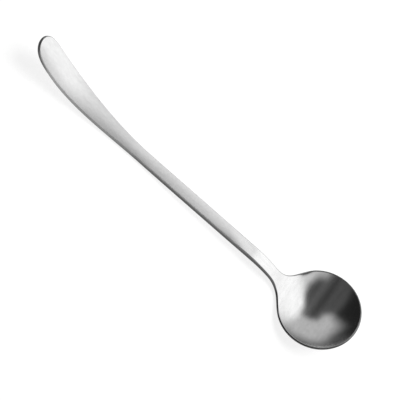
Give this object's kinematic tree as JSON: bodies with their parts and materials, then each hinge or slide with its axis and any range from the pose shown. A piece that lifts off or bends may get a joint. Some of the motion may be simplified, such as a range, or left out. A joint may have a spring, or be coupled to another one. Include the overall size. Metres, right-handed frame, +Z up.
{
  "type": "long-handled spoon",
  "caption": "Satin steel spoon with a round bowl, an S-shaped neck, a straight flat stem and a tail that widens into an upturned paddle.",
  "frame": {"origin": "on the surface that the spoon lies on, under the middle of its box", "axes": "+X along the handle from the bowl to the tail, +Z up"},
  "size_m": [0.1876, 0.04, 0.0167],
  "materials": {
    "steel": "satin"
  },
  "bodies": {
    "root": {"bowl": "steel", "handle": "steel"}
  },
  "joints": []
}
